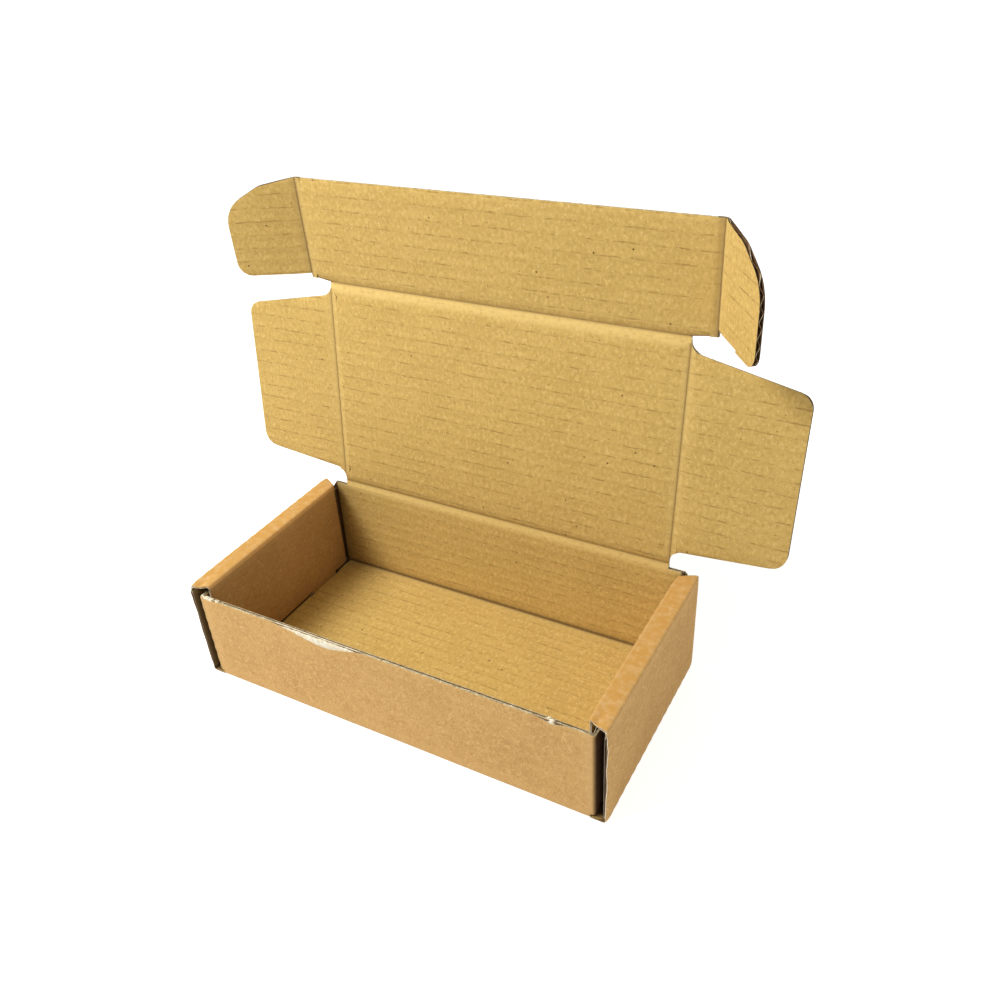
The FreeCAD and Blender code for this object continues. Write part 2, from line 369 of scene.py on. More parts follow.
class Panel:
    """One panel of the sheet: its flat mesh, how it is folded, its creases and its cut edges.

    seams are boundary lines where the next panel goes on, and hinges those where a bending strip goes on.
    Each is (axis, place, low, high). A crease is (axis, low, high, sink inside, sink outside, reach).
    swell is how far the outer liner comes away from the board, and dip how far it is moved along Y.
    """

    def __init__(
            self, points, place, columns, rows, seams=(), hinges=(), creases=(), slots=(),
            crushed=knife_crush, shade=None, tint=None, rub=None, swell=None, dip=None, rim_slot=EDGE):
        self.place = place
        self.creases = creases
        self.crushed = crushed
        self.shade_rule = shade
        self.tint_rule = tint
        self.rub_rule = rub
        self.rim_slot = rim_slot
        bm = bmesh.new()
        points = np.array(points)
        area = np.sum(points[:, 0] * np.roll(points[:, 1], -1) - np.roll(points[:, 0], -1) * points[:, 1])
        if area < 0:
            points = points[::-1]
        bm.faces.new([bm.verts.new((x, y, 0)) for x, y in points])
        for normal, places in (((0, 1, 0), rows), ((1, 0, 0), columns)):
            for value in places:
                geometry = bm.verts[:] + bm.edges[:] + bm.faces[:]
                bmesh.ops.bisect_plane(
                    bm, geom=geometry, dist=TINY, plane_co=[n * value for n in normal], plane_no=normal)
        for (x0, x1), (y0, y1) in slots:
            middles = [(face, face.calc_center_median()) for face in bm.faces]
            inside = [face for face, middle in middles if x0 < middle.x < x1 and y0 < middle.y < y1]
            bmesh.ops.delete(bm, geom=inside, context="FACES")
        bm.verts.index_update()
        self.flat = np.array([v.co[:2] for v in bm.verts], float)
        self.faces = [[v.index for v in face.verts] for face in bm.faces]
        rim = [(loop.vert.index, loop.link_loop_next.vert.index)
               for face in bm.faces for loop in face.loops if loop.edge.is_boundary]
        bm.free()
        self.rim = [edge for edge in rim if not self.lies_on(edge, seams)]
        self.cut = np.array([edge for edge in self.rim if not self.lies_on(edge, hinges)], int).reshape(-1, 2)
        self.x, self.y = self.flat.T
        self.swell = swell(self.x, self.y) if swell else np.zeros(len(self.x))
        self.dip = dip(self.x, self.y) if dip else np.zeros(len(self.x))
        self.cut_distance = self.distance_to(self.cut)
        self.crush_distance = self.distance_to([edge for edge in self.cut if self.runs_along_flutes(edge)])
        self.mirrored = self.turns_over()

    def lies_on(self, edge, lines):
        ends = self.flat[list(edge)]
        for axis, place, low, high in lines:
            along = ends[:, 1 - axis]
            within = along.min() > low - SAME_LINE and along.max() < high + SAME_LINE
            if within and np.all(abs(ends[:, axis] - place) < SAME_LINE):
                return True
        return False

    def runs_along_flutes(self, edge):
        step = abs(self.flat[edge[0]] - self.flat[edge[1]])
        return step[1] < 0.35 * step[0]

    def distance_to(self, edges):
        """Distance on the sheet from each corner to the nearest of some edges."""
        best = np.full(len(self.flat), 1.0)
        for a, b in edges:
            start, way = self.flat[a], self.flat[b] - self.flat[a]
            t = np.clip((self.flat - start) @ way / max(way @ way, 1e-16), 0, 1)
            best = np.minimum(best, np.linalg.norm(self.flat - start - np.outer(t, way), axis=1))
        return best

    def turns_over(self):
        """True if folding mirrors the panel, so that its faces have to be reversed."""
        centre = self.flat.mean(axis=0)
        step = 0.1 * MM
        probes = np.array([[0, 0, 0], [step, 0, 0], [0, step, 0], [0, 0, step]])
        p = self.place(centre[0] + probes[:, 0], centre[1] + probes[:, 1], probes[:, 2] - board)
        return np.linalg.det(p[1:] - p[0]) < 0

    def crease_distance(self, crease):
        axis, low, high = crease[:3]
        value = self.flat[:, axis]
        return np.maximum(np.maximum(low - value, value - high), 0)

    def sink(self, column):
        """How deep the creases press a face in. Column 3 is the inner face and 4 the outer one."""
        total = np.zeros(len(self.x))
        for crease in self.creases:
            total = np.maximum(total, crease[column] * np.exp(-self.crease_distance(crease) / crease[5]))
        return total

    def washboard(self, phase):
        """Sag of a liner between the crests of the fluted layer."""
        wave = 0.5 - 0.5 * np.cos(2 * math.pi * self.y / flute_pitch + phase)
        patchy = 0.75 + 0.25 * np.sin(self.x * 61 + self.y * 37) * np.sin(self.x * 23 - self.y * 91)
        return 0.15 * MM * wave * patchy * ease(self.cut_distance / (2 * MM))

    def pinch(self):
        """The cutting knife presses the liners together, most where it cuts along the flutes."""
        lightly = 0.16 * MM * np.exp(-self.cut_distance / (0.9 * MM))
        return lightly + self.crushed * np.exp(-self.crush_distance / (1.3 * MM))

    def inner_face(self):
        return -self.sink(3) - self.washboard(0.0) - self.pinch()

    def outer_face(self):
        return self.sink(4) + self.washboard(math.pi) + self.pinch() - self.swell - board

    def near_crease(self, reach):
        """1 on a crease, fading out beside it."""
        total = np.zeros(len(self.x))
        for crease in self.creases:
            total = np.maximum(total, np.exp(-self.crease_distance(crease) / reach))
        return total

    def looks(self, height):
        """What the materials need to know: fold wear with a painted highlight, scored line with painted
        crease shade, painted shade in unlit places, and warmer tint.
        """
        shade = self.shade_rule(self.x, self.y, height) if self.shade_rule else np.zeros(len(self.x))
        tint = self.tint_rule(self.x, self.y) if self.tint_rule else np.zeros(len(self.x))
        rub = self.rub_rule(self.x, self.y) if self.rub_rule else self.near_crease(2.2 * MM)
        return {"rub": rub, "score": self.near_crease(0.55 * MM), "shade": shade, "tint": tint}


def add_object(name, data):
    obj = bpy.data.objects.new(name, data)
    bpy.context.scene.collection.objects.link(obj)
    return obj


def store(mesh, label, values):
    """Puts a value or a vector on each of a mesh's points."""
    kind, key = ("FLOAT", "value") if values.ndim == 1 else ("FLOAT_VECTOR", "vector")
    mesh.attributes.new(label, kind, "POINT").data.foreach_set(key, values.astype(np.float32).ravel())


def soften(mesh):
    mesh.shade_smooth()
    mesh.set_sharp_from_angle(angle=math.radians(38))


class Piece:
    """Gathers shells of panels into one object."""

    def __init__(self, name, materials):
        self.name = name
        self.materials = materials
        self.points, self.faces, self.slots, self.sheet, self.looks = [], [], [], [], []
        self.count = 0

    def add_shell(self, panel, low, high, low_slot, high_slot, rim_slot, moved=0.0):
        """A closed sheet of paper between two heights, open only along the panel's seams."""
        n = len(panel.x)
        shift = self.count
        faces = [list(face) for face in panel.faces]
        faces += [[i + n for i in reversed(face)] for face in panel.faces]
        faces += [[a + n, b + n, b, a] for a, b in panel.rim]
        if panel.mirrored:
            faces = [face[::-1] for face in faces]
        self.faces += [[i + shift for i in face] for face in faces]
        self.slots += [high_slot] * len(panel.faces)
        self.slots += [low_slot] * len(panel.faces)
        self.slots += [rim_slot] * len(panel.rim)
        for height in (high, low):
            self.points.append(panel.place(panel.x, panel.y + moved, height))
            self.sheet.append(np.column_stack([panel.x, panel.y, height]))
            self.looks.append(panel.looks(height))
        self.count += 2 * n

    def build(self):
        mesh = bpy.data.meshes.new(self.name)
        mesh.from_pydata(np.vstack(self.points).tolist(), [], self.faces)
        mesh.polygons.foreach_set("material_index", self.slots)
        store(mesh, "sheet", np.vstack(self.sheet))
        for label in self.looks[0]:
            store(mesh, label, np.concatenate([looks[label] for looks in self.looks]))
        bm = bmesh.new()
        bm.from_mesh(mesh)
        bmesh.ops.remove_doubles(bm, verts=bm.verts, dist=2e-6)
        bmesh.ops.dissolve_degenerate(bm, edges=bm.edges, dist=1e-6)
        bm.to_mesh(mesh)
        bm.free()
        for material in self.materials:
            mesh.materials.append(material)
        soften(mesh)
        return add_object(self.name, mesh)


# Materials

class Nodes:
    """Short calls to fill a node tree."""

    def __init__(self, tree):
        self.tree = tree

    def add(self, kind, inputs=None, **settings):
        node = self.tree.nodes.new(kind)
        for key, value in settings.items():
            setattr(node, key, value)
        for key, value in (inputs or {}).items():
            socket = node.inputs[key]
            if isinstance(value, bpy.types.NodeSocket):
                self.tree.links.new(value, socket)
            else:
                socket.default_value = value
        return node

    def math(self, operation, a, b=0.0):
        return self.add("ShaderNodeMath", {0: a, 1: b}, operation=operation).outputs[0]

    def scale(self, vector, factors):
        return self.add("ShaderNodeVectorMath", {0: vector, 1: factors}, operation="MULTIPLY").outputs[0]

    def noise(self, vector, scale, detail=2.0, roughness=0.5):
        inputs = {"Vector": vector, "Scale": scale, "Detail": detail, "Roughness": roughness}
        return self.add("ShaderNodeTexNoise", inputs).outputs["Fac"]

    def ramp(self, value, low, high):
        """0 at low and 1 at high, smoothly. Low may be above high."""
        inputs = {"Value": value, "From Min": low, "From Max": high}
        return self.add("ShaderNodeMapRange", inputs, interpolation_type="SMOOTHSTEP").outputs["Result"]

    def mix(self, factor, a, b):
        return self.add("ShaderNodeMix", {0: factor, 6: a, 7: b}, data_type="RGBA").outputs[2]


def group(name, inputs, outputs):
    """An empty shader group: its tree, the nodes' helper, and its input and output nodes."""
    tree = bpy.data.node_groups.new(name, "ShaderNodeTree")
    for label, kind, value in inputs:
        socket = tree.interface.new_socket(label, in_out="INPUT", socket_type=kind)
        socket.default_value = value
    for label, kind in outputs:
        tree.interface.new_socket(label, in_out="OUTPUT", socket_type=kind)
    return tree, Nodes(tree), tree.nodes.new("NodeGroupInput"), tree.nodes.new("NodeGroupOutput")


FLOAT = "NodeSocketFloat"
VECTOR = "NodeSocketVector"


def sheet_group():
    """Place on the flat sheet in millimetres, so that patterns run on across the folds."""
    outputs = [("Place", VECTOR), ("Rub", FLOAT), ("Score", FLOAT), ("Shade", FLOAT), ("Tint", FLOAT)]
    tree, n, start, end = group("sheet_place", [("Shift", VECTOR, (0, 0, 0))], outputs)
    sheet = n.add("ShaderNodeAttribute", attribute_name="sheet").outputs["Vector"]
    millimetres = n.scale(sheet, (1000, 1000, 1000))
    shifted = n.add("ShaderNodeVectorMath", {0: millimetres, 1: start.outputs["Shift"]}, operation="ADD")
    place = shifted.outputs[0]
    n.tree.links.new(place, end.inputs["Place"])
    # Patchy amounts of fold wear with painted highlight, scored line with painted crease shade, painted
    # shade, and tint.
    for label, scale, low, high in (
        ("rub", 0.5, 0.1, 0.6), ("score", 0.5, 0.05, 0.5), ("shade", 0.2, 0.0, 0.1), ("tint", 0.3, 0.3, 0.6),
    ):
        amount = n.add("ShaderNodeAttribute", attribute_name=label).outputs["Fac"]
        patchy = n.math("MULTIPLY", amount, n.ramp(n.noise(place, scale, 4.0, 0.65), low, high))
        n.tree.links.new(patchy, end.inputs[label.capitalize()])
    return tree


def fibre_group():
    """Paper: clouds of pulp, short fibres, and dark and light specks."""
    inputs = [("Place", VECTOR, (0, 0, 0)), ("Curl", FLOAT, 0.3)]
    outputs = [(label, FLOAT) for label in ("Clouds", "Fibres", "Dark specks", "Light specks", "Height")]
    tree, n, start, end = group("paper_fibres", inputs, outputs)
    place = start.outputs["Place"]
    clouds = n.noise(place, 0.04, 3.0, 0.6)
    curl = {"Vector": n.scale(place, (1.0, 0.7, 1.0)), "Scale": 0.62, "Detail": 2.0, "Roughness": 0.6}
    curls = n.add("ShaderNodeTexNoise", curl)
    tree.links.new(start.outputs["Curl"], curls.inputs["Distortion"])
    mottle = curls.outputs["Fac"]
    grain = n.noise(n.scale(place, (1.0, 0.4, 1.0)), 2.3, 4.0, 0.75)
    fibres = n.math("ADD", n.math("MULTIPLY", mottle, 0.62), n.math("MULTIPLY", grain, 0.38))
    cells = n.add("ShaderNodeTexVoronoi", {"Vector": place, "Scale": 0.42, "Randomness": 1.0})
    chance = n.add("ShaderNodeSeparateColor", {0: cells.outputs["Color"]})
    near = n.ramp(cells.outputs["Distance"], 0.16, 0.05)
    few = n.math("MULTIPLY", near, n.ramp(chance.outputs[0], 0.88, 0.94))
    spots = n.add("ShaderNodeTexVoronoi", {"Vector": place, "Scale": 0.11, "Randomness": 1.0})
    rare = n.add("ShaderNodeSeparateColor", {0: spots.outputs["Color"]})
    small = n.ramp(spots.outputs["Distance"], 0.062, 0.04)
    spot = n.math("MULTIPLY", small, n.ramp(rare.outputs[2], 0.84, 0.86))
    dark = n.math("MAXIMUM", few, spot)
    threads = n.scale(place, (1.0, 0.6, 1.0))
    slivers = n.add("ShaderNodeTexVoronoi", {"Vector": threads, "Scale": 0.8, "Randomness": 1.0})
    pick = n.add("ShaderNodeSeparateColor", {0: slivers.outputs["Color"]})
    thin = n.ramp(slivers.outputs["Distance"], 0.28, 0.12)
    light = n.math("MULTIPLY", thin, n.ramp(pick.outputs[1], 0.8, 0.92))
    height = n.math("ADD", n.math("MULTIPLY", grain, 0.6), n.math("MULTIPLY", mottle, 0.4))
    for label, value in (
        ("Clouds", clouds), ("Fibres", fibres), ("Dark specks", dark), ("Light specks", light),
        ("Height", height),
    ):
        tree.links.new(value, end.inputs[label])
    return tree


def washboard_group():
    """Broken lines over the flutes' crests, a painted highlight beside each, and the wave across them."""
    inputs = [
        ("Place", VECTOR, (0, 0, 0)), ("Pitch", FLOAT, flute_pitch / MM), ("Line width", FLOAT, 0.62),
        ("Unbroken", FLOAT, 0.5),
    ]
    outputs = [("Lines", FLOAT), ("Ridges", FLOAT), ("Wave", FLOAT)]
    tree, n, start, end = group("washboard", inputs, outputs)
    place = start.outputs["Place"]
    axes = n.add("ShaderNodeSeparateXYZ", {0: place})
    sway = n.math("MULTIPLY", n.math("SUBTRACT", n.noise(place, 0.09, 2.0), 0.5), 1.2)
    shake = n.math("MULTIPLY", n.math("SUBTRACT", n.noise(place, 0.45, 2.0), 0.5), 0.8)
    across = n.math("ADD", axes.outputs["Y"], n.math("ADD", sway, shake))
    turns = n.math("DIVIDE", across, start.outputs["Pitch"])
    from_line = n.math("MULTIPLY", n.math("PINGPONG", turns, 0.5), start.outputs["Pitch"])
    line = n.ramp(from_line, start.outputs["Line width"], 0.08)
    # A painted highlight on a ridge just beside each line.
    above = n.math("DIVIDE", n.math("ADD", across, 0.75), start.outputs["Pitch"])
    from_ridge = n.math("MULTIPLY", n.math("PINGPONG", above, 0.5), start.outputs["Pitch"])
    ridge_highlight = n.ramp(from_ridge, 0.9, 0.1)
    dashes = n.noise(n.scale(place, (0.22, 0.9, 1.0)), 1.0, 3.0, 0.6)
    patches = n.noise(place, 0.05, 2.0, 0.5)
    share = n.math("ADD", n.math("MULTIPLY", dashes, 0.7), n.math("MULTIPLY", patches, 0.3))
    broken = n.math("SUBTRACT", 1.0, start.outputs["Unbroken"])
    kept = n.ramp(share, n.math("SUBTRACT", broken, 0.05), n.math("ADD", broken, 0.09))
    wave = n.add("ShaderNodeMath", {0: n.math("MULTIPLY", turns, 2 * math.pi)}, operation="COSINE").outputs[0]
    tree.links.new(n.math("MULTIPLY", line, kept), end.inputs["Lines"])
    tree.links.new(n.math("MULTIPLY", ridge_highlight, kept), end.inputs["Ridges"])
    tree.links.new(wave, end.inputs["Wave"])
    return tree


sheet_place = sheet_group()
paper_fibres = fibre_group()
washboard = washboard_group()


def paper(
        name, base, dark, light, shift, worn_and_highlight=None, lines=None, specks=(0.0, 0.0), curl=0.3, rub=0.5,
        score=0.0, waves=0.0, tinted=(0.5, 0.3, 0.1, 1), bump=0.2):
    """A paper's material. Base, dark and light are its mottled colours, and the fold colour gives wear and a
    painted highlight at folds.

    lines are the washboard's strength, unbroken share and colour. specks are the shares of dark and light.
    The washboard's troughs get painted shade, a ridge beside each line a painted highlight, and score
    darkens scored lines with painted crease shade.
    """
    material = bpy.data.materials.new(name)
    material.use_nodes = True
    n = Nodes(material.node_tree)
    shader = material.node_tree.nodes["Principled BSDF"]
    sheet = n.add("ShaderNodeGroup", node_tree=sheet_place)
    sheet.inputs["Shift"].default_value = shift
    place = sheet.outputs["Place"]
    fibres = n.add("ShaderNodeGroup", node_tree=paper_fibres)
    fibres.inputs["Curl"].default_value = curl
    n.tree.links.new(place, fibres.inputs["Place"])
    cloud = n.math("MULTIPLY", n.ramp(fibres.outputs["Clouds"], 0.62, 0.34), 0.45)
    colour = n.mix(cloud, base, dark)
    colour = n.mix(n.ramp(fibres.outputs["Fibres"], 0.5, 0.64), colour, light)
    colour = n.mix(n.ramp(fibres.outputs["Fibres"], 0.48, 0.38), colour, dark)
    height = fibres.outputs["Height"]
    if lines:
        strength, unbroken, line_colour = lines
        flutes = n.add("ShaderNodeGroup", {"Unbroken": unbroken}, node_tree=washboard)
        n.tree.links.new(place, flutes.inputs["Place"])
        # Painted shade in the washboard's troughs, and a painted highlight on a ridge beside each line.
        trough_shade = n.math("MULTIPLY", n.ramp(flutes.outputs["Wave"], -0.2, 1.0), waves)
        colour = n.mix(trough_shade, colour, dark)
        colour = n.mix(n.math("MULTIPLY", flutes.outputs["Ridges"], strength * 0.5), colour, light)
        colour = n.mix(n.math("MULTIPLY", flutes.outputs["Lines"], strength), colour, line_colour)
        height = n.math("SUBTRACT", height, n.math("MULTIPLY", flutes.outputs["Lines"], 0.8))
    for effect, share, over in (
        (fibres.outputs["Dark specks"], specks[0], (0.07, 0.035, 0.01, 1)),
        (fibres.outputs["Light specks"], specks[1], (0.86, 0.72, 0.42, 1)),
        # Wear at the folds, lightened as a painted highlight.
        (sheet.outputs["Rub"], rub, worn_and_highlight or base),
        # Scored lines, darkened further as painted crease shade.
        (sheet.outputs["Score"], score, (0.16, 0.08, 0.02, 1)),
    ):
        colour = n.mix(n.math("MULTIPLY", effect, share), colour, over)
    colour = n.mix(sheet.outputs["Tint"], colour, tinted)
    # Painted shade: towards near black where the shade attribute marks an unlit place.
    colour = n.mix(sheet.outputs["Shade"], colour, (0.042, 0.016, 0.007, 1))
    n.tree.links.new(colour, shader.inputs["Base Color"])
    rough = n.math("ADD", 0.8, n.math("MULTIPLY", fibres.outputs["Fibres"], 0.16))
    n.tree.links.new(rough, shader.inputs["Roughness"])
    normal = n.add("ShaderNodeBump", {"Height": height, "Strength": bump, "Distance": 0.0006}).outputs[0]
    n.tree.links.new(normal, shader.inputs["Normal"])
    shader.inputs["Specular IOR Level"].default_value = 0.25
    return material


# The fold colours are lighter than the bases: wear at the folds together with a painted highlight.
kraft = paper(
    "kraft_outside", base=(0.61, 0.367, 0.134, 1), dark=(0.515, 0.293, 0.101, 1),
    light=(0.715, 0.455, 0.184, 1), worn_and_highlight=(0.75, 0.48, 0.2, 1), tinted=(0.58, 0.315, 0.08, 1),
    shift=(40, 9, 3), lines=(0.12, 0.4, (0.42, 0.23, 0.08, 1)), specks=(0.35, 0.3), curl=1.6, rub=0.6,
    score=0.12)
test_liner = paper(
    "test_liner_inside", base=(0.585, 0.392, 0.118, 1), dark=(0.50, 0.325, 0.09, 1),
    light=(0.68, 0.47, 0.155, 1), worn_and_highlight=(0.77, 0.55, 0.195, 1), shift=(0, 0, 0),
    lines=(0.56, 0.49, (0.25, 0.14, 0.035, 1)), specks=(0.85, 0.45), rub=0.8, score=0.8, waves=0.16)
fluting_paper = paper(
    "fluting_paper", base=(0.22, 0.12, 0.05, 1), dark=(0.14, 0.07, 0.03, 1), light=(0.3, 0.18, 0.08, 1),
    shift=(5, 70, 2))
cut_edge = paper(
    "cut_edge", base=(0.52, 0.44, 0.27, 1), dark=(0.27, 0.2, 0.1, 1), light=(0.74, 0.67, 0.47, 1),
    shift=(11, 31, 7))
# Near black: painted shade on the ears' raw edges, where the open flutes lie in shade.
dark_edge = paper(
    "dark_edge", base=(0.042, 0.021, 0.012, 1), dark=(0.02, 0.01, 0.006, 1), light=(0.3, 0.23, 0.14, 1),
    shift=(9, 5, 1))
torn_paper = paper(
    "torn_paper", base=(0.86, 0.79, 0.62, 1), dark=(0.7, 0.6, 0.4, 1), light=(0.93, 0.9, 0.8, 1),
    shift=(3, 17, 29), bump=0.6)

liner_materials = [kraft, test_liner, fluting_paper, cut_edge, dark_edge, torn_paper]


# The fluted layer

def fluted_tree():
    """Geometry nodes: a flat sheet thrown into waves along its rise, and given the paper's thickness."""
    tree = bpy.data.node_groups.new("fluted_paper", "GeometryNodeTree")
    for label, kind in (
        ("Flat sheet", "NodeSocketGeometry"), ("Pitch", FLOAT), ("Paper thickness", FLOAT),
        ("Paper", "NodeSocketMaterial"), ("Cut edge", "NodeSocketMaterial"),
    ):
        tree.interface.new_socket(label, in_out="INPUT", socket_type=kind)
    tree.interface.new_socket("Geometry", in_out="OUTPUT", socket_type="NodeSocketGeometry")
    n = Nodes(tree)
    start = tree.nodes.new("NodeGroupInput")
    end = tree.nodes.new("NodeGroupOutput")

    def named(label, kind):
        return n.add("GeometryNodeInputNamedAttribute", {"Name": label}, data_type=kind).outputs["Attribute"]

    rise = named("rise", "FLOAT_VECTOR")
    across = n.add("ShaderNodeSeparateXYZ", {0: named("sheet", "FLOAT_VECTOR")}).outputs["Y"]
    angle = n.math("MULTIPLY", n.math("DIVIDE", across, start.outputs["Pitch"]), 2 * math.pi)
    wave = n.add("ShaderNodeMath", {0: angle}, operation="COSINE").outputs[0]
    height = n.math("MULTIPLY", wave, named("swing", "FLOAT"))
    half = n.math("MULTIPLY", start.outputs["Paper thickness"], -0.5)

    def along_rise(amount):
        return n.add("ShaderNodeVectorMath", {0: rise, "Scale": amount}, operation="SCALE").outputs[0]

    flat = start.outputs["Flat sheet"]
    lift = along_rise(n.math("ADD", height, half))
    waved = n.add("GeometryNodeSetPosition", {"Geometry": flat, "Offset": lift}).outputs[0]
    thickness = along_rise(start.outputs["Paper thickness"])
    thick = n.add("GeometryNodeExtrudeMesh", {"Mesh": waved, "Offset": thickness, "Individual": False})
    marked = n.add(
        "GeometryNodeStoreNamedAttribute",
        {"Geometry": thick.outputs["Mesh"], "Name": "cut", "Value": thick.outputs["Side"]},
        data_type="BOOLEAN", domain="FACE").outputs[0]
    under = n.add("GeometryNodeFlipFaces", {"Mesh": waved}).outputs[0]
    joined = n.add("GeometryNodeJoinGeometry")
    tree.links.new(marked, joined.inputs[0])
    tree.links.new(under, joined.inputs[0])
    closed = n.add("GeometryNodeMergeByDistance", {"Geometry": joined.outputs[0], "Distance": 1e-6})
    real = n.add("GeometryNodeRealizeInstances", {"Geometry": closed.outputs[0]})
    all_paper = n.add("GeometryNodeSetMaterial", {
        "Geometry": real.outputs[0], "Material": start.outputs["Paper"],
    }).outputs[0]
    # Painted light and shade: only the cut faces on one flank of each wave get the light cut-edge paper, and
    # the other flank's cut faces keep the dark fluting paper.
    flank = n.add("ShaderNodeMath", {0: angle}, operation="SINE").outputs[0]
    lit_flank = n.math("GREATER_THAN", flank, -0.1)
    lit_cut_faces = n.add("FunctionNodeBooleanMath", {0: named("cut", "BOOLEAN"), 1: lit_flank}, operation="AND")
    edges = n.add("GeometryNodeSetMaterial", {
        "Geometry": all_paper, "Selection": lit_cut_faces.outputs[0], "Material": start.outputs["Cut edge"],
    })
    tree.links.new(edges.outputs[0], end.inputs[0])
    return tree


fluted_paper = fluted_tree()


def set_input(modifier, label, value):
    """Sets a geometry nodes input by its socket's identifier."""
    for item in modifier.node_group.interface.items_tree:
        if item.item_type == "SOCKET" and item.in_out == "INPUT" and item.name == label:
            modifier[item.identifier] = value


def plain_mesh(host, name):
    """The host's evaluated mesh as a new object. The host is removed."""
    evaluated = host.evaluated_get(bpy.context.evaluated_depsgraph_get())
    mesh = bpy.data.meshes.new_from_object(evaluated)
    mesh.name = name
    bpy.data.objects.remove(host)
    return add_object(name, mesh)


def fluting(name, panels):
    """The fluted layer of some panels as one piece."""
    points, faces, sheet, rise, swing = [], [], [], [], []
    count = 0
    for panel in panels:
        middle = (panel.inner_face() + panel.outer_face()) / 2
        centre = panel.place(panel.x, panel.y, middle)
        above = panel.place(panel.x, panel.y, middle + 0.1 * MM)
        direction = (above - centre) / (0.1 * MM)
        room = (panel.inner_face() - panel.outer_face()) / 2 - liner - medium / 2
        flat_by_crease = np.ones(len(panel.x))
        for crease in panel.creases:
            flat_by_crease = np.minimum(flat_by_crease, ease(panel.crease_distance(crease) / (3.2 * MM)))
        points.append(centre)
        rise.append(direction)
        swing.append(np.maximum(room, 0) * (0.12 + 0.88 * flat_by_crease))
        sheet.append(np.column_stack([panel.x, panel.y, middle]))
        for face in panel.faces:
            ring = face[::-1] if panel.mirrored else face
            faces.append([i + count for i in ring])
        count += len(panel.x)
    mesh = bpy.data.meshes.new(name)
    mesh.from_pydata(np.vstack(points).tolist(), [], faces)
    for label, values in (("sheet", sheet), ("rise", rise), ("swing", swing)):
        store(mesh, label, np.concatenate(values))
    bm = bmesh.new()
    bm.from_mesh(mesh)
    bmesh.ops.remove_doubles(bm, verts=bm.verts, dist=2e-6)
    bm.to_mesh(mesh)
    bm.free()
    host = add_object(name + "_flat", mesh)
    modifier = host.modifiers.new("flutes", "NODES")
    modifier.node_group = fluted_paper
    for label, value in (
        ("Pitch", flute_pitch), ("Paper thickness", medium), ("Paper", fluting_paper), ("Cut edge", cut_edge),
    ):
        set_input(modifier, label, value)
    piece = plain_mesh(host, name)
    soften(piece.data)
    return piece


def inner_shell(piece, panel):
    face = panel.inner_face()
    piece.add_shell(panel, face - liner, face, BACK, INSIDE, panel.rim_slot)


def outer_shell(piece, panel):
    face = panel.outer_face()
    piece.add_shell(panel, face, face + liner, OUTSIDE, BACK, panel.rim_slot, moved=panel.dip)


def torn_width(x):
    """How far the front wall's top edge is torn open: 1 at the widest place."""
    rise = np.clip((x - torn_start) / (torn_widest - torn_start), 0, 1)
    fall = np.clip((torn_end - x) / (torn_end - torn_widest), 0, 1)
    return np.sin(rise * math.pi / 2) ** 1.6 * np.sin(fall * math.pi / 2) ** 0.8


def nicked(x):
    return np.exp(-((x - nick_at) / (1.6 * MM)) ** 2)


def frayed(x):
    """1 where the front wall's top edge is torn to white: at its left end and at the nick."""
    total = np.zeros(len(x))
    for low, high in fray_spans:
        total = np.maximum(total, ease((x / MM - low) / 0.8) * ease((high - x / MM) / 0.8))
    return total


def front_dip(x, y):
    """The outer liner's top edge is pushed down where the wall is torn and nicked."""
    below = y - front_top
    depth = torn_dip * torn_width(x) + nick_dip * nicked(x) + fray_dip * frayed(x)
    depth += edge_wave * np.sin(x / (2.3 * MM))
    return depth * np.exp(-below / (5 * MM)) * (below < 20 * MM)


def torn_edge(x):
    """The crushed fluted paper that shows along the front wall's top edge, as rows of points along it."""
    place = tray_end(-1, front_lean)
    torn = torn_width(x)
    fray = frayed(x)
    along = x / MM
    rough = 0.09 * np.sin(along / 1.1) + 0.07 * np.sin(along / 0.47 + 1) + 0.05 * np.sin(along / 2.9 + 2)
    rings = []
    for height, torn_height, drop, torn_drop, roughness in (
        (-0.62, 0.0, 3.0, 2.0, 0.0), (-0.66, 0.0, 0.5, 0.2, 1.0), (-0.9, -0.1, 0.2, -0.1, 1.0),
        (-1.3, -0.2, 0.12, -0.1, 1.0), (-1.65, -0.4, 0.3, 0.1, 0.9), (-1.78, -0.52, 0.7, 0.6, 0.4),
        (-1.8, -0.56, 1.3, 1.4, 0.1), (-1.78, -0.54, 2.0, 2.3, 0.0), (-1.6, -0.2, 3.0, 2.7, 0.0),
    ):
        wider = 0.35 * fray * (height + 1.2)
        w = np.maximum(height + torn_height * torn + wider + rough * 0.5 * roughness, -2.37) * MM
        raised = 0.5 * fray * roughness
        below = drop + torn_drop * torn + rough * (1 + 3 * fray) * roughness
        below = (np.maximum(below, 0.05) - raised) * MM
        rings.append(place(x, front_top + below, w))
    return rings


